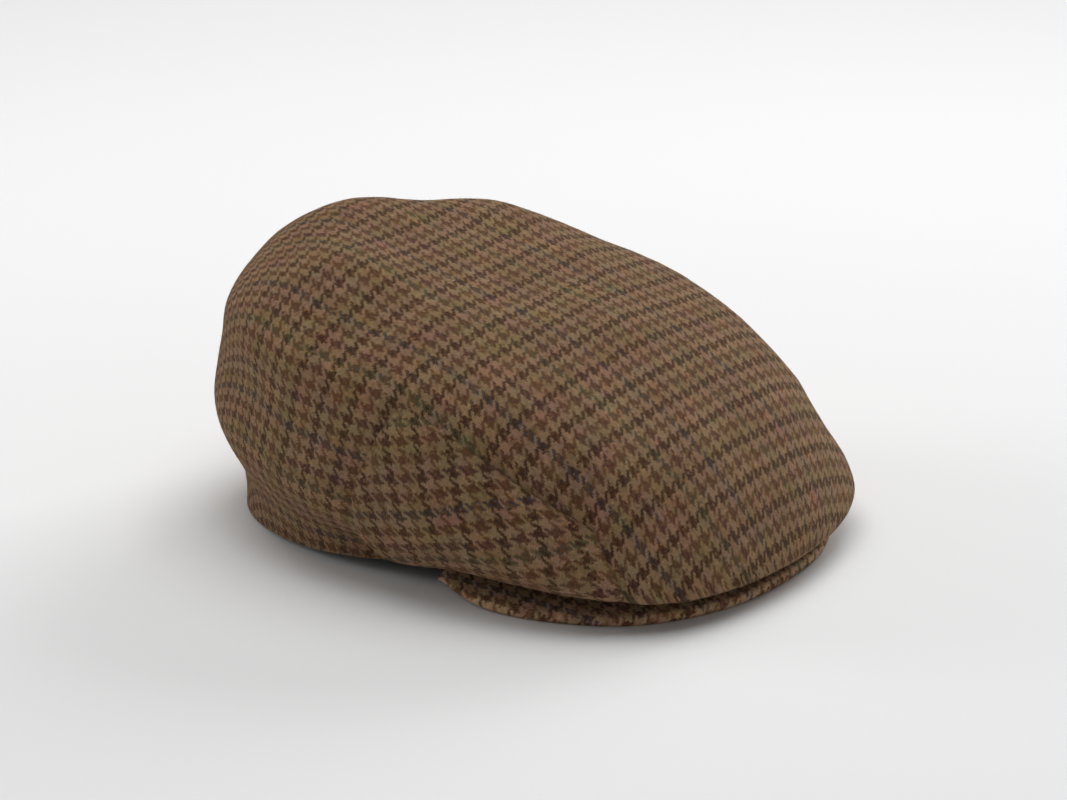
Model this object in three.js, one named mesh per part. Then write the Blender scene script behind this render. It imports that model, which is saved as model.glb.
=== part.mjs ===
// A flat cap in check tweed: a crown whose main panel runs from the front over the top to the back, a panel
// sewn into each side of it, and a stiff cloth-covered peak.
// Millimetres, +Z up. The peak points to -Y and the wearer's right is at -X.
import * as THREE from 'three';

// Thicknesses, and the gap between pieces that are sewn together
const CLOTH_THICKNESS = 2;
const PEAK_THICKNESS = 4;
const SEAM_GAP = 0.3;

// Lines round the crown, from its lower edge at the head up to the edge of its top
const CROWN_LINES = ['rim', 'band', 'fold', 'side', 'shoulder', 'top'];

// Sections of the crown round its upright axis, the same on both sides. bearing is in degrees from
// the front, and each line's column is [reach from the axis, height above the table].
const CROWN_SECTIONS = [
  {
    bearing: 0, rim: [100, 6], band: [110, 7], fold: [128, 7], side: [143, 16],
    shoulder: [116, 54], top: [61, 88],
  },
  {
    bearing: 32, rim: [94, 7], band: [103, 8], fold: [128, 9], side: [143, 20],
    shoulder: [110, 65], top: [57, 90],
  },
  {
    bearing: 62, rim: [84, 8], band: [91, 11], fold: [109, 18], side: [117, 38],
    shoulder: [100, 77], top: [54, 96],
  },
  {
    bearing: 80, rim: [83, 8], band: [87, 11], fold: [102, 18], side: [107, 50],
    shoulder: [96, 83], top: [54, 100],
  },
  {
    bearing: 92, rim: [83, 6], band: [87, 15], fold: [103, 32], side: [104, 57],
    shoulder: [95, 86], top: [55, 102],
  },
  {
    bearing: 125, rim: [92, 2], band: [97, 18], fold: [108, 43], side: [104, 66],
    shoulder: [100, 94], top: [63, 112],
  },
  {
    bearing: 155, rim: [103, 0], band: [103, 21], fold: [114, 46], side: [112, 69],
    shoulder: [103, 96], top: [65, 115],
  },
  {
    bearing: 180, rim: [105, 0], band: [105, 22], fold: [117, 47], side: [118, 70],
    shoulder: [106, 100], top: [69, 121],
  },
];

// The middle of the top is a flat round the axis that falls to the front
const MIDDLE_REACH = 28;
const MIDDLE_HEIGHT = 104;
const MIDDLE_SLOPE = 0.25;

// Seams of the side panels: bearings of the rear and the front seam at each level, from the rim at level 0
// up to the top seam at level 1. The top seam runs forward from the rear one, a little below the shoulder,
// and its ends are shares of the way from the rim to the apex.
const SIDE_SEAMS = [
  { level: 0, rear: 89, front: 36 },
  { level: 0.5, rear: 88, front: 35 },
  { level: 0.7, rear: 86, front: 35 },
  { level: 0.85, rear: 82, front: 36 },
  { level: 1, rear: 76, front: 39 },
];
const TOP_SEAM_REAR_SHARE = 0.56;
const TOP_SEAM_FRONT_SHARE = 0.49;

// About how wide and how high a side panel is along the cloth
const SIDE_PANEL_WIDTH = 80;
const SIDE_PANEL_HEIGHT = 100;

// The cloth dips into the seams from this level up, and puffs out above the front end of the top seam,
// round this [bearing, share of the way from rim to apex]
const SEAM_DIP = 1.4;
const SEAM_DIP_HALF_WIDTH = 6;
const SEAM_DIP_LEVEL = 0.6;
const PUFF_MIDDLE = [38, 0.54];
const PUFF_RISE = 3;
const PUFF_HALF_WIDTH = 15;

// Outer edge of the peak on each side: reach from the crown's axis, and lift of its underside
const PEAK_SECTIONS = [
  { bearing: 0, reach: 140, lift: 0 },
  { bearing: 16, reach: 140, lift: 0 },
  { bearing: 32, reach: 135, lift: 0 },
  { bearing: 48, reach: 120, lift: 0 },
  { bearing: 58, reach: 106, lift: 1 },
  { bearing: 66, reach: 93, lift: 3 },
  { bearing: 70, reach: 87, lift: 3.6 },
];

// How finely the surfaces are divided. The lower rows reach the top seam, and the upper rows the apex.
const SPANS_TO_APEX = CROWN_LINES.length + 1;
const PANEL_STEPS = { front: 20, right: 12, back: 44, left: 12 };
const LOWER_STEPS = 16;
const UPPER_STEPS = 12;
const PEAK_STEPS = 56;
const PEAK_WIDTH_STEPS = 4;
const PEAK_EDGE_STEPS = 4;

const TWEED = new THREE.MeshStandardMaterial({ color: 0x6e5743, roughness: 0.95, metalness: 0 });
const TWEED_SHADE = new THREE.MeshStandardMaterial({ color: 0x5f4b3a, roughness: 0.95, metalness: 0 });

// A smooth curve through a table's rows over the column that keys it
function smoothTable(rows, key, columnsOf, ending = THREE.ZeroSlopeEnding) {
  const values = rows.flatMap(columnsOf);
  const table = new THREE.CubicInterpolant(rows.map((row) => row[key]), values, values.length / rows.length);
  table.settings = { endingStart: ending, endingEnd: ending };
  return table;
}

const crownTable = smoothTable(CROWN_SECTIONS, 'bearing', (row) => CROWN_LINES.flatMap((line) => row[line]));
const peakTable = smoothTable(PEAK_SECTIONS, 'bearing', (row) => [row.reach, row.lift]);
const seamTable = smoothTable(
  SIDE_SEAMS, 'level', (row) => [row.rear, row.front], THREE.ZeroCurvatureEnding,
);

// Bearing from the front on either side, 0 to 180 degrees
function foldedBearing(bearing) {
  return Math.abs(THREE.MathUtils.euclideanModulo(bearing + 180, 360) - 180);
}

// A point at a bearing, a reach from the crown's axis and a height above the table
function pointAt(bearing, reach, height) {
  const angle = THREE.MathUtils.degToRad(bearing);
  return new THREE.Vector3(-Math.sin(angle) * reach, -Math.cos(angle) * reach, height);
}

// The crown's lines at a bearing, as (reach, height) from the rim to the top
function crownSection(bearing) {
  const values = crownTable.evaluate(foldedBearing(bearing));
  return CROWN_LINES.map((_, line) => {
    const [reach, height] = values.slice(2 * line, 2 * line + 2);
    return new THREE.Vector2(reach, Math.max(0, height));
  });
}

// The crown's profile at a bearing, from the rim over the apex to the far edge of the top's middle
function crownProfile(bearing) {
  const fall = MIDDLE_SLOPE * MIDDLE_REACH * Math.cos(THREE.MathUtils.degToRad(bearing));
  return new THREE.SplineCurve([
    ...crownSection(bearing),
    new THREE.Vector2(MIDDLE_REACH, MIDDLE_HEIGHT - fall),
    new THREE.Vector2(0, MIDDLE_HEIGHT),
    new THREE.Vector2(-MIDDLE_REACH, MIDDLE_HEIGHT + fall),
  ]);
}

// A point of the cloth before the darts, at a share of the way from the rim to the apex
function clothPoint(bearing, share) {
  const along = crownProfile(bearing).getPoint((share * SPANS_TO_APEX) / (SPANS_TO_APEX + 1));
  return pointAt(bearing, along.x, along.y);
}

// The outward direction of the cloth at a point below the apex
function clothNormal(bearing, share) {
  const turn = 0.5;
  const rise = 0.004;
  const lower = Math.max(0, share - rise);
  const upper = Math.min(1, share + rise);
  const around = clothPoint(bearing + turn, share).sub(clothPoint(bearing - turn, share));
  const up = clothPoint(bearing, upper).sub(clothPoint(bearing, lower));
  return up.cross(around).normalize();
}

// Bearing and share of a place on a panel: across it from its first edge, and up from the rim at level 0
// past the top seam at level 1 to the apex at level 2
function place(panel, across, level) {
  const [rear, front] = seamTable.evaluate(Math.min(level, 1));
  const panelEdges = {
    front: [-front, front], right: [front, rear], back: [rear, 360 - rear], left: [-rear, -front],
  };
  const seamShares = {
    front: [TOP_SEAM_FRONT_SHARE, TOP_SEAM_FRONT_SHARE],
    right: [TOP_SEAM_FRONT_SHARE, TOP_SEAM_REAR_SHARE],
    back: [TOP_SEAM_REAR_SHARE, TOP_SEAM_REAR_SHARE],
    left: [TOP_SEAM_REAR_SHARE, TOP_SEAM_FRONT_SHARE],
  };
  const bearing = THREE.MathUtils.lerp(...panelEdges[panel], across);
  const seamShare = THREE.MathUtils.lerp(...seamShares[panel], across);
  const share = level < 1 ? level * seamShare : THREE.MathUtils.lerp(seamShare, 1, level - 1);
  return [bearing, share];
}

// The seams of the right side panel as short straight lines, up its rear edge and down its front edge
function sideSeamLines() {
  const steps = Array.from({ length: LOWER_STEPS + 1 }, (_, step) => step / LOWER_STEPS);
  const levels = steps.map((step) => THREE.MathUtils.lerp(SEAM_DIP_LEVEL, 1, step));
  const route = [
    ...levels.map((level) => place('right', 1, level)),
    ...steps.map((step) => place('right', 1 - step, 1)),
    ...levels.map((level) => place('right', 0, level)).reverse(),
  ];
  const points = route.map(([bearing, share]) => clothPoint(bearing, share));
  return points.slice(1).map((point, index) => new THREE.Line3(points[index], point));
}

const seamLines = sideSeamLines();
const puffMiddle = clothPoint(...PUFF_MIDDLE);

// A soft swell that dies away over its half width
function swell(distance, halfWidth) {
  return Math.exp(-((distance / halfWidth) ** 2));
}

// How far the seams and the puffs draw the cloth in at a point, on either side of the crown
function drawnIn(point) {
  const onRight = new THREE.Vector3(-Math.abs(point.x), point.y, point.z);
  const foot = new THREE.Vector3();
  const toSeams = seamLines.map((seam) => onRight.distanceTo(seam.closestPointToPoint(onRight, true, foot)));
  const dip = SEAM_DIP * swell(Math.min(...toSeams), SEAM_DIP_HALF_WIDTH);
  return dip - PUFF_RISE * swell(onRight.distanceTo(puffMiddle), PUFF_HALF_WIDTH);
}

// A place on the cloth as the points of its outer and inner faces. The rim's edge is cut level.
function clothWall([bearing, share]) {
  const flatPoint = clothPoint(bearing, share);
  const inward = clothNormal(bearing, share).negate();
  const outer = flatPoint.clone().addScaledVector(inward, drawnIn(flatPoint));
  const inner = outer.clone().addScaledVector(inward, CLOTH_THICKNESS);
  if (share === 0) inner.z = Math.max(inner.z, outer.z);
  return { outer, inner };
}

// The two triangles of a cell, from its lower corners to its upper ones
function cellTriangles(lower, lowerNext, upper, upperNext) {
  return [[lower, lowerNext, upperNext], [lower, upperNext, upper]];
}

// A closed wall of cloth: both faces of its triangles, and a strip along each open edge. The strip's
// diagonals run the same way on both sides of a seam.
function wallGeometry(wall, triangles) {
  const count = wall.length;
  const indices = [];
  const sides = triangles.flatMap(([a, b, c]) => [[a, b], [b, c], [c, a]]);
  const known = new Set(sides.map(([from, to]) => from * count + to));
  for (const [a, b, c] of triangles) {
    indices.push(a, b, c, count + a, count + c, count + b);
  }
  for (const [from, to] of sides) {
    if (known.has(to * count + from)) continue;
    if (from < to) {
      indices.push(to, from, count + from, to, count + from, count + to);
    } else {
      indices.push(to, from, count + to, from, count + from, count + to);
    }
  }
  const points = [...wall.map(({ outer }) => outer), ...wall.map(({ inner }) => inner)];
  const geometry = new THREE.BufferGeometry().setFromPoints(points);
  geometry.setIndex(indices);
  geometry.computeVertexNormals();
  return geometry;
}

// The main panel: the whole grid of the crown except the cells below the top seam at each side
function mainPanelGeometry() {
  const columns = Object.entries(PANEL_STEPS).flatMap(([panel, steps]) => (
    Array.from({ length: steps }, (_, step) => ({ panel, across: step / steps }))
  ));
  const count = columns.length;
  const levels = [
    ...Array.from({ length: LOWER_STEPS }, (_, step) => step / LOWER_STEPS),
    ...Array.from({ length: UPPER_STEPS }, (_, step) => 1 + step / UPPER_STEPS),
  ];
  const wall = levels.flatMap((level) => (
    columns.map(({ panel, across }) => clothWall(place(panel, across, level)))
  ));
  const tip = wall.length;
  const apex = new THREE.Vector3(0, 0, MIDDLE_HEIGHT);
  wall.push({ outer: apex, inner: apex.clone().setZ(MIDDLE_HEIGHT - CLOTH_THICKNESS) });
  const triangles = [];
  columns.forEach(({ panel }, column) => {
    const next = (column + 1) % count;
    const isSide = panel === 'right' || panel === 'left';
    for (let row = isSide ? LOWER_STEPS : 0; row < levels.length - 1; row += 1) {
      const here = row * count;
      const above = here + count;
      triangles.push(...cellTriangles(here + next, here + column, above + next, above + column));
    }
    const last = (levels.length - 1) * count;
    triangles.push([last + next, last + column, tip]);
  });
  return wallGeometry(wall, triangles);
}

// A side panel, with a small gap to the main panel along its seams
function sidePanelGeometry(panel) {
  const columns = PANEL_STEPS[panel] + 1;
  const inset = SEAM_GAP / SIDE_PANEL_WIDTH;
  const topLevel = 1 - SEAM_GAP / SIDE_PANEL_HEIGHT;
  const wall = [];
  for (let row = 0; row <= LOWER_STEPS; row += 1) {
    const level = Math.min(row / LOWER_STEPS, topLevel);
    for (let column = 0; column < columns; column += 1) {
      const across = THREE.MathUtils.clamp(column / (columns - 1), inset, 1 - inset);
      wall.push(clothWall(place(panel, across, level)));
    }
  }
  const triangles = [];
  for (let row = 0; row < LOWER_STEPS; row += 1) {
    for (let column = 0; column < columns - 1; column += 1) {
      const here = row * columns + column;
      const above = here + columns;
      triangles.push(...cellTriangles(here + 1, here, above + 1, above));
    }
  }
  return wallGeometry(wall, triangles);
}

// A closed mesh of equal rings, each joined to the next, with a tip that closes each end
function ringGeometry(rings, firstTip, lastTip) {
  const count = rings[0].length;
  const lastRing = (rings.length - 1) * count;
  const firstTipIndex = lastRing + count;
  const lastTipIndex = firstTipIndex + 1;
  const indices = [];
  for (let step = 0; step < count; step += 1) {
    const next = (step + 1) % count;
    for (let here = 0; here < lastRing; here += count) {
      const above = here + count;
      indices.push(...cellTriangles(here + step, here + next, above + step, above + next).flat());
    }
    indices.push(firstTipIndex, next, step, lastTipIndex, lastRing + step, lastRing + next);
  }
  const geometry = new THREE.BufferGeometry().setFromPoints([...rings.flat(), firstTip, lastTip]);
  geometry.setIndex(indices);
  geometry.computeVertexNormals();
  return geometry;
}

// The outline of the peak at a bearing: along its underside, round its outer edge and back over the top
function peakSection(bearing) {
  const [reach, lift] = peakTable.evaluate(foldedBearing(bearing));
  const rim = crownSection(bearing)[0];
  const radius = PEAK_THICKNESS / 2;
  const inner = new THREE.Vector2(rim.x - CLOTH_THICKNESS, rim.y - SEAM_GAP - radius);
  const edge = new THREE.Vector2(reach - radius, Math.max(0, lift) + radius);
  const underside = [];
  const top = [];
  for (let step = 0; step < PEAK_WIDTH_STEPS; step += 1) {
    const middle = inner.clone().lerp(edge, step / PEAK_WIDTH_STEPS);
    underside.push(pointAt(bearing, middle.x, middle.y - radius));
    top.unshift(pointAt(bearing, middle.x, middle.y + radius));
  }
  const roundEdge = [];
  for (let step = 0; step <= PEAK_EDGE_STEPS; step += 1) {
    const angle = (step / PEAK_EDGE_STEPS - 0.5) * Math.PI;
    roundEdge.push(pointAt(bearing, edge.x + radius * Math.cos(angle), edge.y + radius * Math.sin(angle)));
  }
  return [...underside, ...roundEdge, ...top];
}

// The middle of a ring of points
function ringMiddle(ring) {
  return new THREE.Box3().setFromPoints(ring).getCenter(new THREE.Vector3());
}

// The peak: one solid crescent from end to end
function peakGeometry() {
  const end = PEAK_SECTIONS.at(-1).bearing;
  const rings = [];
  for (let step = 0; step <= PEAK_STEPS; step += 1) {
    rings.push(peakSection(THREE.MathUtils.lerp(-end, end, step / PEAK_STEPS)));
  }
  return ringGeometry(rings, ringMiddle(rings[0]), ringMiddle(rings.at(-1)));
}

const crown = new THREE.Mesh(mainPanelGeometry(), TWEED);
crown.name = 'crown';
const sidePanels = ['right', 'left'].map((side) => {
  const sidePanel = new THREE.Mesh(sidePanelGeometry(side), TWEED);
  sidePanel.name = `side_panel_${side}`;
  return sidePanel;
});
const peak = new THREE.Mesh(peakGeometry(), TWEED_SHADE);
peak.name = 'peak';

// The origin is under the middle of the whole cap
const cap = new THREE.Group();
cap.add(crown, ...sidePanels, peak);
const middle = new THREE.Box3().setFromObject(cap).getCenter(new THREE.Vector3());
cap.position.set(-middle.x, -middle.y, 0);

export default cap;
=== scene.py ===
"""Soft flat cap in brown check tweed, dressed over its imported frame."""

import logging
import math
from dataclasses import dataclass
from enum import Enum

import bpy
import numpy as np
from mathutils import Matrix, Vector, noise


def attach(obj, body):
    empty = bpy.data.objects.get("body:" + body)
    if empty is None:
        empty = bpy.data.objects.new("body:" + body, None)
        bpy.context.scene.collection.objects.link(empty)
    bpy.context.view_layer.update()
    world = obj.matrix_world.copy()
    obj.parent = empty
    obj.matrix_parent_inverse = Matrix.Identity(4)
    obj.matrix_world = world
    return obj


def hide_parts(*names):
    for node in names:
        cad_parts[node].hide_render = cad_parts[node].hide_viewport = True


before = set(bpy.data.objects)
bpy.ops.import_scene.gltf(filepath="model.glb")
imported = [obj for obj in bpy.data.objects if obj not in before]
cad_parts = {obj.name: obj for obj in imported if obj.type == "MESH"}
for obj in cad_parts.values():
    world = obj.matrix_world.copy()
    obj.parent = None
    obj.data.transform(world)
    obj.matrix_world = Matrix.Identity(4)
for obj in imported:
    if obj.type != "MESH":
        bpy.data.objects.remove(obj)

LOG = logging.getLogger("flat_cap")

# Kinds of value that many signatures name.
Array = np.ndarray
Pair = tuple[float, float]
Colour = tuple[float, float, float, float]
Items = bpy.types.bpy_prop_collection
Socket = bpy.types.NodeSocket
Feed = bpy.types.NodeSocket | float | tuple[float, ...]
Inputs = dict[str | int, Feed]

MM = 0.001
# How far the crown's axis stands behind the middle of the whole cap, in mm.
CROWN_AXIS_Y = 12.0
HALF_TURN = 180.0
CLOTH_UV = "cloth"
BODY = "root"
# Edges that fold less than this are shaded smooth.
SMOOTH_ANGLE = math.radians(60)
# Vertices of neighbouring patches closer than this are merged.
MERGE_DISTANCE = 0.01 * MM


def hermite(rows: Array, slopes: Array, keys: Array, at: Array) -> Array:
    """Blend the rows of a table smoothly along its keys.

    Args:
        rows: The table's values, one row for each key.
        slopes: The slope of each column at each key.
        keys: The places of the rows, rising.
        at: The places to read.

    Returns:
        One row of values for each place.
    """
    row = np.clip(np.searchsorted(keys, at, side="right") - 1, 0, len(keys) - 2)
    span = (keys[row + 1] - keys[row])[..., None]
    t = (at - keys[row])[..., None] / span
    start = (2 * t**3 - 3 * t**2 + 1) * rows[row] + (t**3 - 2 * t**2 + t) * span * slopes[row]
    return start + (3 * t**2 - 2 * t**3) * rows[row + 1] + (t**3 - t**2) * span * slopes[row + 1]


def inner_slopes(rows: Array, keys: Array) -> Array:
    """Slopes of a table's columns, level at both ends.

    Args:
        rows: The table's values, one row for each key.
        keys: The places of the rows, rising.

    Returns:
        The slopes, of the table's own shape.
    """
    slopes = np.zeros_like(rows)
    slopes[1:-1] = (rows[2:] - rows[:-2]) / (keys[2:] - keys[:-2])[:, None]
    return slopes


def ease(value: Array, start: float, end: float) -> Array:
    """Rise softly from 0 at the start to 1 at the end.

    Args:
        value: Where to read the rise.
        start: Where it begins.
        end: Where it is done.

    Returns:
        Shares from 0 to 1.
    """
    t = np.clip((value - start) / (end - start), 0.0, 1.0)
    return t * t * (3 - 2 * t)


def swell(distance: Array, half_width: float) -> Array:
    """A soft rise that is 1 at no distance."""
    return np.exp(-((distance / half_width) ** 2))


def running_sum(pieces: Array, axis: int = 0) -> Array:
    """Lengths gone so far, from 0 at the start.

    Args:
        pieces: The lengths of a line's pieces.
        axis: The axis that the pieces follow.

    Returns:
        One length more than there are pieces.
    """
    total = np.cumsum(pieces, axis)
    return np.concatenate([np.zeros_like(np.take(total, [0], axis)), total], axis)


def length_round(points: Array) -> Array:
    """Lengths gone from the first of some points to each of them."""
    return running_sum(np.linalg.norm(np.diff(points, axis=0), axis=-1))


class Panel(Enum):
    """The parts of the crown's right half that the side seams bound."""

    FRONT = "front"
    SIDE = "side"
    BACK = "back"


class Hand(Enum):
    """The two halves of the cap, as the wearer has them."""

    RIGHT = 1.0
    LEFT = -1.0


@dataclass(frozen=True)
class CrownSection:
    """The crown's profile at one bearing from the front, as reach and height in mm."""

    bearing: float
    rim: Pair
    band: Pair
    fold: Pair
    side: Pair
    shoulder: Pair
    top: Pair

    def row(self) -> list[float]:
        """The lines' reaches and heights in one row."""
        lines = (self.rim, self.band, self.fold, self.side, self.shoulder, self.top)
        return [value for line in lines for value in line]


@dataclass(frozen=True)
class SeamRow:
    """Where the side panel's two upright seams stand at one level, as bearings."""

    level: float
    rear: float
    front: float


@dataclass(frozen=True)
class SeamDraw:
    """How deep a seam is drawn at its start and its end, and where along it that changes."""

    start: float
    end: float
    change: Pair = (0.0, 1.0)

    def depth(self, share: Array) -> Array:
        """The depth at shares of the seam's length."""
        return self.start + (self.end - self.start) * ease(share, *self.change)


@dataclass(frozen=True)
class CrownForm:
    """The crown's surface and the seams on it, in mm from the crown's axis."""

    sections: tuple[CrownSection, ...] = (
        CrownSection(0, (100, 6), (110, 7), (128, 7), (143, 16), (116, 54), (61, 88)),
        CrownSection(32, (94, 7), (103, 8), (128, 9), (143, 20), (110, 65), (57, 90)),
        CrownSection(62, (84, 8), (91, 11), (109, 18), (117, 38), (100, 77), (54, 96)),
        CrownSection(80, (83, 8), (87, 11), (102, 18), (107, 50), (96, 83), (54, 100)),
        CrownSection(92, (83, 6), (87, 15), (103, 32), (104, 57), (95, 86), (55, 102)),
        CrownSection(125, (92, 2), (97, 18), (108, 43), (104, 66), (100, 94), (63, 113)),
        CrownSection(155, (103, 0), (103, 21), (114, 46), (112, 69), (103, 96), (65, 116.5)),
        CrownSection(180, (105, 0), (105, 22), (117, 47), (118, 70), (106, 100), (69, 119.5)),
    )
    middle_reach: float = 28.0
    middle_height: float = 104.0
    middle_slope: float = 0.25
    side_seams: tuple[SeamRow, ...] = (
        SeamRow(0.0, 89, 36),
        SeamRow(0.5, 88, 35),
        SeamRow(0.7, 86, 35),
        SeamRow(0.85, 82, 36),
        SeamRow(1.0, 76, 39),
    )
    top_seam_rear: float = 0.56
    top_seam_front: float = 0.49
    rear_draw: SeamDraw = SeamDraw(0.45, 0.45)
    top_draw: SeamDraw = SeamDraw(0.4, 1.0, (0.3, 0.6))
    front_draw: SeamDraw = SeamDraw(0.25, 0.7, (0.6, 1.0))
    seam_samples: int = 121
    normal_shares: Pair = (0.006, 0.985)
    share_step: float = 0.004
    bearing_step: float = 0.5

    def profile(self, bearing: Array) -> Array:
        """The lines that the profile runs through, from the rim over the apex.

        Args:
            bearing: Bearings from the front, 0 to 180 degrees.

        Returns:
            Reach and height of nine points for each bearing.
        """
        keys = np.array([section.bearing for section in self.sections], float)
        rows = np.array([section.row() for section in self.sections], float)
        lines = hermite(rows, inner_slopes(rows, keys), keys, bearing)
        lines = lines.reshape(*lines.shape[:-1], -1, 2)
        fall = self.middle_slope * self.middle_reach * np.cos(np.radians(bearing))
        reach = np.full_like(fall, self.middle_reach)
        near = np.stack([reach, self.middle_height - fall], -1)
        apex = np.stack([0 * reach, self.middle_height + 0 * fall], -1)
        far = np.stack([-reach, self.middle_height + fall], -1)
        return np.concatenate([lines, np.stack([near, apex, far], -2)], -2)

    def bare(self, bearing: Array, share: Array) -> Array:
        """The smooth cloth before it is sewn and handled.

        Args:
            bearing: Bearings from the front, 0 to 180 degrees.
            share: Shares of the way from the rim, 0, to the apex, 1.

        Returns:
            Points on the right half, in mm.
        """
        bearing, share = np.broadcast_arrays(np.asarray(bearing, float), np.asarray(share, float))
        lines = self.profile(bearing)
        last = lines.shape[-2] - 1
        along = share * (last - 1)
        start = np.minimum(np.floor(along).astype(int), last - 1)
        w = (along - start)[..., None]

        def line(index: Array) -> Array:
            """The profile's points of one index."""
            index = np.clip(index, 0, last)[..., None, None].repeat(2, -1)
            return np.take_along_axis(lines, index, -2)[..., 0, :]

        before, here, after, beyond = (line(start + step) for step in (-1, 0, 1, 2))
        leave, arrive = (after - before) / 2, (beyond - here) / 2
        curve = (2 * here - 2 * after + leave + arrive) * w**3
        curve = curve + (3 * after - 3 * here - 2 * leave - arrive) * w**2 + leave * w + here
        turn = np.radians(bearing)
        reach = curve[..., 0]
        return np.stack([-np.sin(turn) * reach, -np.cos(turn) * reach, np.maximum(curve[..., 1], 0)], -1)

    def normal(self, bearing: Array, share: Array) -> Array:
        """Outward directions of the smooth cloth.

        Args:
            bearing: Bearings from the front, 0 to 180 degrees.
            share: Shares of the way from the rim to the apex.

        Returns:
            Unit vectors.
        """
        share = np.clip(share, *self.normal_shares)
        rise = self.bare(bearing, share + self.share_step) - self.bare(bearing, share - self.share_step)
        step = self.bearing_step
        inside = np.clip(bearing, step, HALF_TURN - step)
        outward = np.cross(rise, self.bare(inside + step, share) - self.bare(inside - step, share))
        outward /= np.linalg.norm(outward, axis=-1, keepdims=True)
        on_middle = np.isclose(bearing % HALF_TURN, 0)
        outward[..., 0] = np.where(on_middle, 0, outward[..., 0])
        return outward / np.linalg.norm(outward, axis=-1, keepdims=True)

    def seam_bearings(self, level: Array) -> tuple[Array, Array]:
        """Bearings of the rear and the front seam.

        Args:
            level: Levels from the rim, 0, to the top seam, 1.

        Returns:
            The rear and the front bearings.
        """
        keys = np.array([row.level for row in self.side_seams])
        rows = np.array([(row.rear, row.front) for row in self.side_seams], float)
        slopes = inner_slopes(rows, keys)
        for end, inner in ((0, 1), (-1, -2)):
            rate = (rows[inner] - rows[end]) / (keys[inner] - keys[end])
            slopes[end] = (3 * rate - slopes[inner]) / 2
        pair = hermite(rows, slopes, keys, np.clip(level, 0, 1))
        return pair[..., 0], pair[..., 1]

    def place(self, panel: Panel, across: Array, level: Array) -> tuple[Array, Array]:
        """Where a spot of a panel lies on the crown's right half.

        Args:
            panel: The panel.
            across: Shares of its width, from the front backwards.
            level: 0 at the rim, 1 at the height of the top seam, 2 at the apex.

        Returns:
            Bearings and shares.
        """
        rear, front = self.seam_bearings(level)
        edges = {
            Panel.FRONT: (0 * front, front, self.top_seam_front, self.top_seam_front),
            Panel.SIDE: (front, rear, self.top_seam_front, self.top_seam_rear),
            Panel.BACK: (rear, 0 * rear + HALF_TURN, self.top_seam_rear, self.top_seam_rear),
        }
        start, end, start_share, end_share = edges[panel]
        seam = start_share + (end_share - start_share) * across
        share = np.where(level < 1, level * seam, seam + (1 - seam) * (level - 1))
        return start + (end - start) * across, share

    def seam_points(self) -> tuple[Array, Array]:
        """The side panel's rear, top and front seams.

        Returns:
            Points along them in mm, and how deep the seam is drawn at each, from 0 to 1.
        """
        steps = np.linspace(0, 1, self.seam_samples)
        ones = np.ones_like(steps)
        runs = (
            (ones, steps, self.rear_draw),
            (1 - steps, ones, self.top_draw),
            (0 * ones, steps, self.front_draw),
        )
        points = [self.bare(*self.place(Panel.SIDE, across, level)) for across, level, _ in runs]
        return np.concatenate(points), np.concatenate([draw.depth(steps) for _, _, draw in runs])


@dataclass(frozen=True)
class Swelling:
    """A place on one half where the soft cloth stands out, or sinks in where its rise is below 0."""

    hand: Hand
    bearing: float
    share: float
    rise: float
    half_width: float


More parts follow.
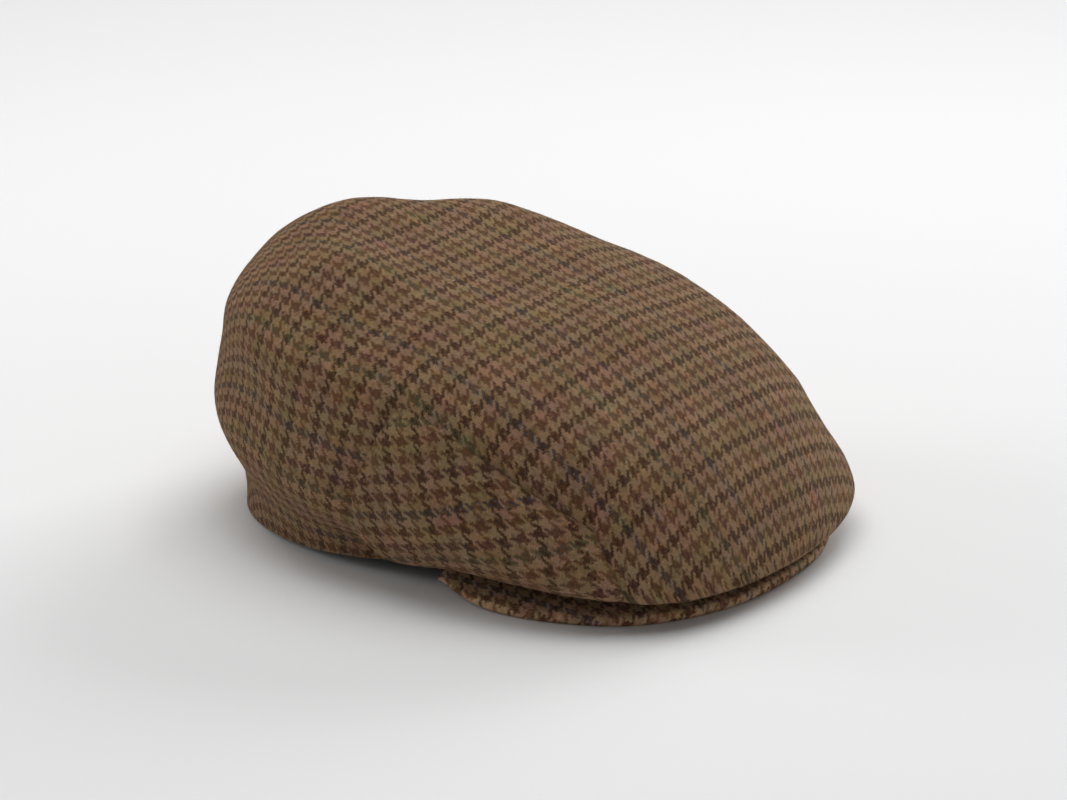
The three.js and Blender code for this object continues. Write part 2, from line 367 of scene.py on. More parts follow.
@dataclass(frozen=True)
class Relief:
    """How the sewn and handled cloth departs from its smooth form, in mm."""

    form: CrownForm
    groove: float = 1.5
    groove_half_width: float = 1.5
    hollow: float = 1.1
    hollow_half_width: float = 6.0
    pad: float = 0.5
    pad_distance: float = 7.0
    pad_half_width: float = 3.5
    swellings: tuple[Swelling, ...] = (
        Swelling(Hand.RIGHT, 38, 0.54, 3.0, 15),
        Swelling(Hand.LEFT, 38, 0.54, 0.6, 15),
        Swelling(Hand.LEFT, 38, 0.475, -2.5, 10),
        Swelling(Hand.LEFT, 145, 0.70, -1.7, 22),
    )
    middle_strip: float = 20.0
    back_groove: float = 1.0
    back_hollow: float = 0.7
    back_seam: Pair = (146.0, 158.0)
    back_seam_end: Pair = (-2.0, 2.0)
    back_length: float = 240.0
    wave: float = 0.9
    wave_length: float = 34.0
    lump: float = 0.22
    lump_length: float = 9.0
    still_rim: Pair = (0.0, 0.12)
    batch: int = 1500

    def seam_distance(self, points: Array) -> tuple[Array, Array]:
        """How far points lie from the side panel's seams.

        Args:
            points: Points on the right half, in mm.

        Returns:
            Distances in mm, and how deep the nearest seam is drawn.
        """
        seams, depth = self.form.seam_points()
        distances, depths = [], []
        for part in np.array_split(points, max(1, len(points) // self.batch)):
            away = ((part[:, None, :] - seams[None]) ** 2).sum(-1)
            nearest = away.argmin(1)
            distances.append(np.sqrt(away[np.arange(len(part)), nearest]))
            depths.append(depth[nearest])
        return np.concatenate(distances), np.concatenate(depths)

    def rise(self, points: Array, bearing: Array, share: Array, hand: Hand) -> Array:
        """How far the cloth stands out of its smooth form.

        Args:
            points: Points of the smooth form on the right half, in mm.
            bearing: Their bearings.
            share: Their shares.
            hand: The half that they are made for.

        Returns:
            Rises in mm.
        """
        distance, depth = self.seam_distance(points)
        rise = -self.groove * swell(distance, self.groove_half_width)
        rise -= self.hollow * swell(distance, self.hollow_half_width)
        rise += self.pad * swell(distance - self.pad_distance, self.pad_half_width)
        rise *= depth
        # The swellings die away at the middle, where the two halves meet.
        off_middle = ease(np.abs(points[:, 0]), 0.0, self.middle_strip)
        for swelling in self.swellings:
            if swelling.hand is hand:
                middle = self.form.bare(swelling.bearing, swelling.share)
                distance = np.linalg.norm(points - middle, axis=1)
                rise += swelling.rise * swell(distance, swelling.half_width) * off_middle
        past = (share - self.form.top_seam_rear) * self.back_length
        below = (1 - ease(past, *self.back_seam_end)) * (bearing > HALF_TURN / 2)
        across_back = ease(bearing, *self.back_seam)
        for away, drawn in ((points[:, 0], below), (past, across_back)):
            rise -= self.back_groove * swell(away, self.groove_half_width) * drawn
            rise -= self.back_hollow * swell(away, self.hollow_half_width) * drawn
        side = np.array([hand.value, 1.0, 1.0])
        for height, length in ((self.wave, self.wave_length), (self.lump, self.lump_length)):
            rise += height * np.array([noise.noise(Vector(p)) for p in points * side / length])
        return rise

    def cloth(self, bearing: Array, share: Array, hand: Hand) -> Array:
        """The dressed cloth's outer face.

        Args:
            bearing: Bearings from the front, 0 to 180 degrees.
            share: Shares of the way from the rim to the apex.
            hand: The half that it is made for.

        Returns:
            Points in metres, in the row's frame.
        """
        points = self.form.bare(bearing, share)
        rise = self.rise(points, bearing, share, hand) * ease(share, *self.still_rim)
        points = points + self.form.normal(bearing, share) * rise[:, None]
        points[:, 0] *= hand.value
        points[:, 1] += CROWN_AXIS_Y
        return points * MM


@dataclass(frozen=True)
class ClothLay:
    """How the tweed lies on the crown, as lengths across and along the cloth in mm."""

    form: CrownForm
    bow_radius: float = 550.0
    spread_at: tuple[float, ...] = (-130, -60, -20, 30, 100)
    spread: tuple[float, ...] = (0.85, 0.98, 1.08, 1.08, 1.3)
    back_bearing: float = 160.0
    wrap_from: float = 95.0
    wrap_share: float = 0.5
    wrap_fade: Pair = (0.42, 0.62)
    side_height: float = 50.0
    side_tilt: float = 14.0
    band_bearings: Pair = (85.0, 110.0)
    corner_bearing: float = 150.0
    least_lean: float = 1e-9
    bearings: int = 121
    steps: int = 160

    def meridians(self) -> tuple[Array, Array, Array, Array]:
        """The crown's lines of equal bearing, each from the apex to the rim.

        Returns:
            Bearings, shares, points, and the reach and height of the pieces of each line.
        """
        bearing = np.linspace(0, HALF_TURN, self.bearings)
        share = np.linspace(1, 0, self.steps + 1)
        points = self.form.bare(bearing[:, None], share[None])
        reach = np.hypot(points[..., 0], points[..., 1])
        pieces = np.stack([np.diff(reach, axis=1), np.diff(points[..., 2], axis=1)], -1)
        return bearing, share, points, pieces

    def main_table(self) -> tuple[Array, Array]:
        """The main panel's lay on a table of bearings and shares.

        Returns:
            Lengths across and along the cloth.
        """
        bearing, share, points, pieces = self.meridians()
        length = np.linalg.norm(pieces, axis=-1)
        steep = (pieces[..., 1] / length) ** 2
        turn = np.radians(bearing)[:, None]
        # The back's wall hangs square to its own edge, so its cloth is turned no further than this.
        turn = np.minimum(turn, math.pi - math.radians(HALF_TURN - self.back_bearing) * steep)
        lean = np.sqrt(np.maximum(self.least_lean, 1 - steep * np.cos(turn) ** 2))
        outward = np.where(pieces[..., 0] < 0, -1, 1)
        across = np.sin(turn) / lean * length
        along = np.cos(turn) * np.sqrt(1 - steep) / lean * length * outward
        # The tucked band behind the side panels hangs square to the rim.
        tucked = (outward < 0) * ease(bearing, *self.band_bearings)[:, None]
        across = running_sum(across + (length - across) * tucked, 1)
        along = running_sum(along * (1 - tucked), 1)
        # Round the back the cloth takes up the length of the wall that the top's lines leave over.
        level = int(np.argmin(abs(share - self.wrap_share)))
        round_about = length_round(points[:, level])
        first = int(np.argmin(abs(bearing - self.wrap_from)))
        left_over = (round_about[first] - round_about) - (along[:, level] - along[first, level])
        left_over = np.where(bearing > self.wrap_from, np.minimum(left_over, 0), 0)
        along = along + left_over[:, None] * (1 - ease(share, *self.wrap_fade))[None]
        along = along + across**2 / (2 * self.bow_radius)
        across = across * np.interp(points[..., 1], self.spread_at, self.spread)
        return across, along

    def back_table(self) -> tuple[Array, Array]:
        """The main panel's lay below the back's short seam, which takes up the fullness of the corners.

        Returns:
            Lengths across and along the cloth.
        """
        bearing, _, points, _ = self.meridians()
        across, along = self.main_table()
        corner = int(np.argmin(abs(bearing - self.corner_bearing)))
        round_about = length_round(points)
        past = np.maximum(bearing - bearing[corner], 0)[:, None]
        rate = (across[corner] - across[corner - 1]) / (bearing[corner] - bearing[corner - 1])
        square = across[corner] + rate * (past - past**2 / (2 * past.max()))
        across = np.where(past > 0, square, across)
        along = np.where(past > 0, along[corner] - (round_about - round_about[corner]), along)
        return across, along

    def side_table(self) -> tuple[Array, Array]:
        """The side panel's lay on the same table.

        Returns:
            Lengths across and along the cloth.
        """
        bearing, _, points, pieces = self.meridians()
        down = running_sum(np.linalg.norm(pieces, axis=-1), 1)
        level = np.array([np.argmax(line < self.side_height) for line in points[..., 2]])
        rows = np.arange(len(bearing))
        down = down - down[rows, level][:, None]
        forward = -length_round(points[rows, level])[:, None] + 0 * down
        tilt = math.radians(self.side_tilt)
        across = down * math.cos(tilt) + forward * math.sin(tilt)
        return across, forward * math.cos(tilt) - down * math.sin(tilt)

    @staticmethod
    def read(table: Array, bearing: Array, share: Array) -> Array:
        """Read a table of bearings and shares between its rows.

        Args:
            table: The table, from bearing 0 to 180 and from share 1 to 0.
            bearing: Bearings to read.
            share: Shares to read.

        Returns:
            The values there.
        """
        row = bearing / HALF_TURN * (table.shape[0] - 1)
        column = (1 - share) * (table.shape[1] - 1)
        r = np.clip(np.floor(row).astype(int), 0, table.shape[0] - 2)
        c = np.clip(np.floor(column).astype(int), 0, table.shape[1] - 2)
        u, v = row - r, column - c
        near = table[r, c] * (1 - v) + table[r, c + 1] * v
        far = table[r + 1, c] * (1 - v) + table[r + 1, c + 1] * v
        return near * (1 - u) + far * u


def read_values(items: Items, name: str, width: int, kind: type = np.float32) -> Array:
    """Read one property of a mesh's items.

    Args:
        items: The items, such as the mesh's vertices.
        name: The property.
        width: How many values each item has.
        kind: The values' type.

    Returns:
        One row for each item.
    """
    values = np.empty(len(items) * width, kind)
    items.foreach_get(name, values)
    return values.reshape(-1, width)


def select_only(*pieces: bpy.types.Object) -> None:
    """Select nothing but some pieces, with the first of them active.

    Args:
        pieces: The pieces.
    """
    bpy.ops.object.select_all(action="DESELECT")
    for piece in pieces:
        piece.select_set(True)
    bpy.context.view_layer.objects.active = pieces[0]


def add_patch(name: str, columns: int, rows: int) -> tuple[bpy.types.Object, Array, Array]:
    """Add a flat grid that is then shaped into a patch of cloth.

    Args:
        name: The patch's name.
        columns: Faces across.
        rows: Faces along.

    Returns:
        The object, and each vertex's share of the width and of the height.
    """
    bpy.ops.object.select_all(action="DESELECT")
    bpy.ops.mesh.primitive_grid_add(x_subdivisions=columns, y_subdivisions=rows, size=1.0)
    patch = bpy.context.active_object
    patch.name = name
    # The grid is one unit wide, about its own middle.
    shares = read_values(patch.data.vertices, "co", 3).astype(float) + 0.5
    return patch, shares[:, 0], shares[:, 1]


def shape_patch(patch: bpy.types.Object, points: Array, cloth: Array, turn_over: bool) -> None:
    """Move a patch's vertices into place and lay the cloth's own coordinates on it.

    Args:
        patch: The patch.
        points: The vertices' places, in metres.
        cloth: The vertices' places on the flat cloth, in mm.
        turn_over: True where the faces have to be turned over to look outwards.
    """
    mesh = patch.data
    mesh.vertices.foreach_set("co", points.astype(np.float32).ravel())
    if turn_over:
        mesh.flip_normals()
    while mesh.uv_layers:
        mesh.uv_layers.remove(mesh.uv_layers[0])
    layer = mesh.uv_layers.new(name=CLOTH_UV)
    corners = read_values(mesh.loops, "vertex_index", 1, np.int32)[:, 0]
    layer.uv.foreach_set("vector", cloth[corners].astype(np.float32).ravel())
    mesh.update()


def sew(name: str, patches: list[bpy.types.Object]) -> bpy.types.Object:
    """Join patches into one sheet.

    Args:
        name: The sheet's name.
        patches: The patches.

    Returns:
        The sheet.
    """
    select_only(*patches)
    bpy.ops.object.join()
    sheet = bpy.context.active_object
    sheet.name = name
    sheet.data.name = name
    bpy.ops.object.mode_set(mode="EDIT")
    bpy.ops.mesh.select_all(action="SELECT")
    bpy.ops.mesh.remove_doubles(threshold=MERGE_DISTANCE)
    bpy.ops.object.mode_set(mode="OBJECT")
    return sheet


def thicken(sheet: bpy.types.Object, thickness: float) -> None:
    """Give a sheet its wall, inwards from its outer face, and keep it above the floor.

    Args:
        sheet: The sheet, with its outer and its inner material in that order.
        thickness: The wall, in mm.
    """
    wall = sheet.modifiers.new("wall", "SOLIDIFY")
    wall.thickness = thickness * MM
    wall.offset = -1.0
    wall.use_even_offset = False
    wall.material_offset = 1
    select_only(sheet)
    bpy.ops.object.modifier_apply(modifier=wall.name)
    spots = read_values(sheet.data.vertices, "co", 3)
    spots[:, 2] = np.maximum(spots[:, 2], 0)
    sheet.data.vertices.foreach_set("co", spots.ravel())
    bpy.ops.object.shade_smooth_by_angle(angle=SMOOTH_ANGLE)


def settle(piece: bpy.types.Object, slot: str, *nodes: str) -> None:
    """Tie a finished piece to the frame.

    Args:
        piece: The piece.
        slot: The record's material slot. Not used.
        nodes: The CAD nodes that it stands for.
    """
    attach(piece, BODY)
    if nodes:
        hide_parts(*nodes)
    LOG.info("%s: %d vertices", piece.name, len(piece.data.vertices))


class Yarn(Enum):
    """The wool yarns of the check, as linear colours."""

    FAWN = (0.290, 0.179, 0.100)
    TAN = (0.250, 0.159, 0.076)
    ROSE_TAN = (0.277, 0.160, 0.098)
    CHESTNUT = (0.130, 0.060, 0.028)
    BROWN = (0.101, 0.043, 0.019)
    DARK_BROWN = (0.053, 0.021, 0.009)
    PLUM = (0.085, 0.035, 0.026)
    NAVY = (0.058, 0.043, 0.040)
    GREEN = (0.080, 0.067, 0.032)
    RUST = (0.185, 0.074, 0.024)
    GOLD = (0.280, 0.164, 0.052)


@dataclass(frozen=True)
class Sett:
    """One repeat of the check, as the yarns of its groups of threads, woven over and under by twos."""

    warp: tuple[Yarn, ...] = (
        Yarn.BROWN, Yarn.FAWN, Yarn.GREEN, Yarn.TAN, Yarn.PLUM, Yarn.FAWN, Yarn.BROWN, Yarn.ROSE_TAN,
        Yarn.NAVY, Yarn.TAN, Yarn.BROWN, Yarn.FAWN, Yarn.PLUM, Yarn.ROSE_TAN, Yarn.CHESTNUT, Yarn.TAN,
    )
    weft: tuple[Yarn, ...] = (
        Yarn.DARK_BROWN, Yarn.FAWN, Yarn.CHESTNUT, Yarn.TAN,
        Yarn.DARK_BROWN, Yarn.ROSE_TAN, Yarn.CHESTNUT, Yarn.FAWN,
    )
    group: int = 4
    pitch: float = 0.875
    float_over: float = 2.0


class NodeSheet:
    """Adds and links the nodes of one tree."""

    def __init__(self, tree: bpy.types.NodeTree) -> None:
        """Start with an empty tree."""
        self.tree = tree
        tree.nodes.clear()

    def feed(self, socket: Socket, value: Feed) -> None:
        """Link a socket, or set it where the value is a plain one.

        Args:
            socket: The socket.
            value: What it gets.
        """
        if isinstance(value, bpy.types.NodeSocket):
            self.tree.links.new(value, socket)
        else:
            socket.default_value = value

    def add(self, kind: str, inputs: Inputs | None = None, **settings: object) -> bpy.types.Node:
        """Add a node.

        Args:
            kind: The node's type.
            inputs: What its inputs get, by name or index.
            settings: Its properties.

        Returns:
            The node.
        """
        node = self.tree.nodes.new(kind)
        for name, value in settings.items():
            setattr(node, name, value)
        for key, value in (inputs or {}).items():
            self.feed(node.inputs[key], value)
        return node

    def math(self, operation: str, *values: Feed) -> Socket:
        """The result of a Math node."""
        return self.add("ShaderNodeMath", dict(enumerate(values)), operation=operation).outputs[0]

    def between(self, value: Feed, low: float, high: float) -> Socket:
        """Stretch a value, so that 0 gives the low end and 1 the high end."""
        return self.math("MULTIPLY_ADD", value, high - low, low)

    def mix(self, share: Feed, first: Feed, second: Feed, blend: str = "MIX") -> Socket:
        """Mix two colours by the share of the second."""
        inputs = {0: share, 6: first, 7: second}
        return self.add("ShaderNodeMix", inputs, data_type="RGBA", blend_type=blend).outputs[2]

    def blend(self, share: Feed, first: Feed, second: Feed) -> Socket:
        """Mix two values by the share of the second."""
        return self.add("ShaderNodeMix", {0: share, 2: first, 3: second}, data_type="FLOAT").outputs[0]

    def vector(self, *values: Feed) -> Socket:
        """Join up to three values into a vector."""
        return self.add("ShaderNodeCombineXYZ", dict(enumerate(values))).outputs[0]

    def split(self, vector: Socket) -> Items:
        """The three values of a vector."""
        return self.add("ShaderNodeSeparateXYZ", {0: vector}).outputs

    def noise(self, place: Socket, scale: float, detail: float = 2.0, colour: bool = False) -> Socket:
        """A Noise texture, as one value or as the three of a colour."""
        inputs = {"Vector": place, "Scale": scale, "Detail": detail}
        return self.add("ShaderNodeTexNoise", inputs).outputs[1 if colour else 0]

    def soft_range(self, value: Socket, source: Pair, target: Pair) -> Socket:
        """Lead a value softly from one range to another.

        Args:
            value: The value.
            source: The range that it comes from.
            target: The range that it goes to.

        Returns:
            The new value.
        """
        names = ("From Min", "From Max", "To Min", "To Max")
        inputs = {"Value": value, **dict(zip(names, (*source, *target)))}
        return self.add("ShaderNodeMapRange", inputs, interpolation_type="SMOOTHSTEP").outputs[0]

    def stripes(self, share: Socket, yarns: tuple[Yarn, ...]) -> Socket:
        """Add a ramp that steps through the yarns of one repeat.

        Args:
            share: The share of the repeat.
            yarns: Its groups of threads.

        Returns:
            The colour.
        """
        node = self.add("ShaderNodeValToRGB", {0: share})
        ramp = node.color_ramp
        ramp.interpolation = "CONSTANT"
        while len(ramp.elements) < len(yarns):
            ramp.elements.new(1.0)
        for index, yarn in enumerate(yarns):
            ramp.elements[index].position = index / len(yarns)
            ramp.elements[index].color = (*yarn.value, 1.0)
        return node.outputs[0]

    def cloth(self) -> Socket:
        """The cloth's own coordinates in mm."""
        return self.add("ShaderNodeUVMap", uv_map=CLOTH_UV).outputs[0]

    def check(self, weave: bpy.types.NodeTree) -> Items:
        """The outputs of the check's group, placed on the cloth's own coordinates."""
        return self.add("ShaderNodeGroup", {"Cloth": self.cloth()}, node_tree=weave).outputs

    def bump(self, height: Socket, strength: float, depth: float) -> Socket:
        """Normals that a pattern of heights gives, with its depth in mm."""
        inputs = {"Height": height, "Strength": strength, "Distance": depth * MM}
        return self.add("ShaderNodeBump", inputs).outputs[0]

    def cover(self, inputs: Inputs) -> None:
        """Close a material with a Principled surface of these inputs."""
        skin = self.add("ShaderNodeBsdfPrincipled", inputs)
        self.add("ShaderNodeOutputMaterial", {"Surface": skin.outputs[0]})


def new_material(name: str) -> tuple[bpy.types.Material, NodeSheet]:
    """Start a material.

    Args:
        name: Its name.

    Returns:
        The material and its empty sheet of nodes.
    """
    material = bpy.data.materials.new(name)
    material.use_nodes = True
    return material, NodeSheet(material.node_tree)


@dataclass(frozen=True)
class Reading:
    """Threads counted across and along, the two threads at a spot, the twill's step and which is on top."""

    across: Socket
    along: Socket
    warp: Socket
    weft: Socket
    step: Socket
    warp_up: Socket


@dataclass(frozen=True)
class TweedWeave:
    """The twill check of the cloth, as a node group that reads the cloth's coordinates in mm."""

    sett: Sett = Sett()
    name: str = "tweed_weave"
    stray: float = 1.6
    stray_scale: float = 2.6
    second_reading: float = 41.0
    wander: float = 1.6
    wander_scale: float = 0.045
    mottle: float = 0.25
    mottle_scale: float = 0.09
    heather: float = 0.6
    heather_run: float = 0.45
    heather_step: float = 3.7
    weft_shift: float = 8.0
    # Painted shade in the dips of the yarn's round and painted light on its crown, as factors on the colour.
    painted_hollow_shade: Pair = (0.72, 1.17)
    broad_shade: Pair = (0.85, 1.15)
    broad_scale: float = 0.035
    grain_scale: float = 3.2
    grain_height: float = 0.8
    fine_detail: float = 3.0
    roughness: Pair = (0.84, 1.0)
    flecks: tuple[Yarn, ...] = (Yarn.RUST, Yarn.GOLD, Yarn.FAWN, Yarn.GREEN, Yarn.NAVY, Yarn.FAWN)
    fleck_share: float = 0.10
    fleck_run: float = 0.6
    fleck_strength: float = 0.6
    frost: float = 0.30
    frost_range: Pair = (0.54, 0.72)
    fibre_scale: float = 1.5
    fibre_stretch: float = 0.5
    pale: Colour = (0.38, 0.265, 0.160, 1.0)

    def build(self) -> bpy.types.NodeTree:
        """Build the group.

        Returns:
            The group.
        """
        tree = bpy.data.node_groups.new(self.name, "ShaderNodeTree")
        tree.interface.new_socket("Cloth", in_out="INPUT", socket_type="NodeSocketVector")
        for name, kind in (("Color", "Color"), ("Height", "Float"), ("Roughness", "Float")):
            tree.interface.new_socket(name, in_out="OUTPUT", socket_type=f"NodeSocket{kind}")
        sheet = NodeSheet(tree)
        cloth = sheet.add("NodeGroupInput").outputs["Cloth"]
        # A second reading of the check, with other stray fibres, softens its edges.
        first, second = (self.read(sheet, cloth, shift) for shift in (0.0, self.second_reading))
        colour = sheet.mix(0.5, self.colour(sheet, first), self.colour(sheet, second))
        height = self.height(sheet, first)
        grain = sheet.noise(cloth, self.grain_scale, self.fine_detail)
        # The yarn's uneven dye and a broad random tone vary the colour, and painted shade darkens it where
        # the yarn's round dips between the threads.
        tone_and_painted_shade = sheet.between(self.heathered(sheet, first), 1.0 - self.heather, 1.0 + self.heather)
        broad = sheet.noise(cloth, self.broad_scale)
        for value, limits in ((height, self.painted_hollow_shade), (broad, self.broad_shade)):
            tone_and_painted_shade = sheet.math("MULTIPLY", tone_and_painted_shade, sheet.between(value, *limits))
        colour = self.mottled(sheet, colour, cloth)
        colour = sheet.mix(1.0, colour, sheet.vector(tone_and_painted_shade, tone_and_painted_shade, tone_and_painted_shade), "MULTIPLY")
        colour = self.flecked(sheet, colour, first)
        outputs = {
            "Color": self.frosted(sheet, colour, cloth),
            "Height": sheet.math("MULTIPLY_ADD", grain, self.grain_height, height),
            "Roughness": sheet.between(grain, *self.roughness),
        }
        sheet.add("NodeGroupOutput", outputs)
        return tree

    def read(self, sheet: NodeSheet, cloth: Socket, shift: float) -> Reading:
        """Count the threads, with soft hairy edges, and find the one on top.

        Args:
            sheet: The group's nodes.
            cloth: The cloth's coordinates.
            shift: How far the stray fibres are moved, in mm.

        Returns:
            The reading.
        """
        moved = sheet.add("ShaderNodeVectorMath", {0: cloth, 1: (shift, shift, 0.0)}, operation="ADD")
        stray = sheet.split(sheet.noise(moved.outputs[0], self.stray_scale, self.fine_detail, True))
        wander = sheet.split(sheet.noise(cloth, self.wander_scale, colour=True))
        place = sheet.split(cloth)
        counts = []
        for axis in (0, 1):
            hair = sheet.between(stray[axis], -self.stray, self.stray)
            drift = sheet.between(wander[axis], -self.wander, self.wander)
            count = sheet.math("DIVIDE", place[axis], self.sett.pitch)
            counts.append(sheet.math("ADD", count, sheet.math("ADD", hair, drift)))
        warp, weft = (sheet.math("FLOOR", count) for count in counts)
        over = self.sett.float_over
        step = sheet.math("FLOORED_MODULO", sheet.math("ADD", warp, weft), 2 * over)
        return Reading(*counts, warp, weft, step, sheet.math("LESS_THAN", step, over))

    def colour(self, sheet: NodeSheet, reading: Reading) -> Socket:
        """The colour of the yarn that lies on top.

        Args:
            sheet: The group's nodes.
            reading: The weave there.

        Returns:
            The colour.
        """
        sides = []
        for count, yarns in ((reading.along, self.sett.weft), (reading.across, self.sett.warp)):
            repeats = sheet.math("DIVIDE", count, float(self.sett.group * len(yarns)))
            sides.append(sheet.stripes(sheet.math("FRACT", repeats), yarns))
        return sheet.mix(reading.warp_up, *sides)

    def mottled(self, sheet: NodeSheet, colour: Socket, cloth: Socket) -> Socket:
        """Uneven tints, as mixed wools give them.

        Args:
            sheet: The group's nodes.
            colour: The yarn's colour.
            cloth: The cloth's coordinates.

        Returns:
            The tinted colour.
        """
        chance = sheet.noise(cloth, self.mottle_scale, colour=True)
        inputs = {0: chance, 1: (self.mottle * 2,) * 3, 2: (1.0 - self.mottle,) * 3}
        tint = sheet.add("ShaderNodeVectorMath", inputs, operation="MULTIPLY_ADD")
        return sheet.mix(1.0, colour, tint.outputs[0], "MULTIPLY")

    def heathered(self, sheet: NodeSheet, reading: Reading) -> Socket:
        """Uneven dye along each yarn.

        Args:
            sheet: The group's nodes.
            reading: The weave there.

        Returns:
            Values about 0.5.
        """
        run, step = self.heather_run, self.heather_step
        weft = [sheet.math("MULTIPLY", *pair) for pair in ((reading.across, run), (reading.weft, step))]
        warp = [sheet.math("MULTIPLY", *pair) for pair in ((reading.warp, step), (reading.along, run))]
        places = (sheet.vector(*weft, self.weft_shift), sheet.vector(*warp))
        return sheet.blend(reading.warp_up, *(sheet.noise(place, 1.0) for place in places))

    def height(self, sheet: NodeSheet, reading: Reading) -> Socket:
        """The round of the yarn that lies on top.

        Args:
            sheet: The group's nodes.
            reading: The weave there.

        Returns:
            Heights from 0 to 1.
        """
        over = self.sett.float_over
        fx, fy = (sheet.math("FRACT", count) for count in (reading.across, reading.along))
        rounds = []
        for cross, along, first in ((fy, fx, over), (fx, fy, 0.0)):
            gone = sheet.math("ADD", sheet.math("SUBTRACT", reading.step, first), along)
            arch = sheet.math("SINE", sheet.math("MULTIPLY", gone, math.pi / over))
            girth = sheet.math("SINE", sheet.math("MULTIPLY", cross, math.pi))
            rounds.append(sheet.math("MULTIPLY", girth, sheet.between(arch, 0.5, 1.0)))
        return sheet.blend(reading.warp_up, *rounds)

    def flecked(self, sheet: NodeSheet, colour: Socket, reading: Reading) -> Socket:
        """Stray fibres of other colours in the yarn.

        Args:
            sheet: The group's nodes.
            colour: The yarn's colour.
            reading: The weave there.

        Returns:
            The flecked colour.
        """
        counts = (reading.across, reading.along)
        runs = [sheet.math("FLOOR", sheet.math("MULTIPLY", count, self.fleck_run)) for count in counts]
        across = sheet.blend(reading.warp_up, runs[0], reading.warp)
        along = sheet.blend(reading.warp_up, reading.weft, runs[1])
        spot = {"Vector": sheet.vector(across, along, reading.warp_up)}
        chance = sheet.add("ShaderNodeTexWhiteNoise", spot, noise_dimensions="3D").outputs["Value"]
        chosen = sheet.math("LESS_THAN", chance, self.fleck_share)
        fleck = sheet.stripes(sheet.math("DIVIDE", chance, self.fleck_share), self.flecks)
        return sheet.mix(sheet.math("MULTIPLY", chosen, self.fleck_strength), colour, fleck)

    def frosted(self, sheet: NodeSheet, colour: Socket, cloth: Socket) -> Socket:
        """Short pale fibres that lie over the weave, along the twill.

        Args:
            sheet: The group's nodes.
            colour: The cloth's colour.
            cloth: The cloth's coordinates.

        Returns:
            The frosted colour.
        """
        place = sheet.split(cloth)
        with_twill = sheet.math("SUBTRACT", place[0], place[1])
        over_twill = sheet.math("ADD", place[0], place[1])
        lengthened = sheet.vector(sheet.math("MULTIPLY", with_twill, self.fibre_stretch), over_twill)
        fibres = sheet.noise(lengthened, self.fibre_scale)
        return sheet.mix(sheet.soft_range(fibres, self.frost_range, (0.0, self.frost)), colour, self.pale)


@dataclass(frozen=True)
class TweedFinish:
    """Matt wool tweed on the outside of the cap."""

    name: str
    # Multiplies the check's colour; above 1 it is painted light, as on the peak in the lip's shadow.
    tone: Colour = (1.0, 1.0, 1.0, 1.0)
    bump: float = 0.55
    depth: float = 0.45
    specular: float = 0.12
    sheen: float = 0.15
    sheen_roughness: float = 0.45
    sheen_tint: Colour = (0.66, 0.49, 0.30, 1.0)

    def build(self, weave: bpy.types.NodeTree) -> bpy.types.Material:
        """Build the material.

        Args:
            weave: The check's node group.

        Returns:
            The material.
        """
        material, sheet = new_material(self.name)
        check = sheet.check(weave)
        sheet.cover({
            "Base Color": sheet.mix(1.0, check["Color"], self.tone, "MULTIPLY"),
            "Roughness": check["Roughness"],
            "Normal": sheet.bump(check["Height"], self.bump, self.depth),
            "Specular IOR Level": self.specular,
            "Sheen Weight": self.sheen,
            "Sheen Roughness": self.sheen_roughness,
            "Sheen Tint": self.sheen_tint,
        })
        return material


@dataclass(frozen=True)
class InnerFinish:
    """Plain brown cloth inside the crown."""

    name: str = "plain_inside"
    dark: Colour = (0.030, 0.020, 0.014, 1.0)
    light: Colour = (0.055, 0.038, 0.027, 1.0)
    pitch: float = 0.5
    painted_weave_shade_share: float = 0.4
    patch_scale: float = 0.4
    patch_detail: float = 3.0
    roughness: Pair = (0.7, 0.9)
    bump: float = 0.4
    depth: float = 0.2
    specular: float = 0.2

    def build(self) -> bpy.types.Material:
        """Build the material.

        Returns:
            The material.
        """
        material, sheet = new_material(self.name)
        cloth = sheet.cloth()
        place = sheet.split(cloth)
        turns = [sheet.math("MULTIPLY", place[axis], math.pi / self.pitch) for axis in (0, 1)]
        rounds = [sheet.math("SINE", turn) for turn in turns]
        weave = sheet.between(sheet.math("MULTIPLY", *rounds), 0.5, 1.0)
        patchy = sheet.noise(cloth, self.patch_scale, self.patch_detail)
        # The colour mixes random patches with painted shade where the weave's threads dip and painted light
        # on their crowns.
        tone = sheet.blend(self.painted_weave_shade_share, patchy, weave)
        sheet.cover({
            "Base Color": sheet.mix(tone, self.dark, self.light),
            "Roughness": sheet.between(tone, *self.roughness),
            "Normal": sheet.bump(weave, self.bump, self.depth),
            "Specular IOR Level": self.specular,
        })
        return material


@dataclass(frozen=True)
class HairFinish:
    """Loose wool hairs, a little paler than the yarn that they come from."""

    name: str = "wool_hair"
    pale: Colour = (0.30, 0.20, 0.11, 1.0)
    paleness: float = 0.35
    specular: float = 0.1

    def build(self, weave: bpy.types.NodeTree) -> bpy.types.Material:
        """Build the material.

        Args:
            weave: The check's node group.

        Returns:
            The material.
        """
        material, sheet = new_material(self.name)
        check = sheet.check(weave)
        sheet.cover({
            "Base Color": sheet.mix(self.paleness, check["Color"], self.pale),
            "Roughness": check["Roughness"],
            "Specular IOR Level": self.specular,
        })
        return material


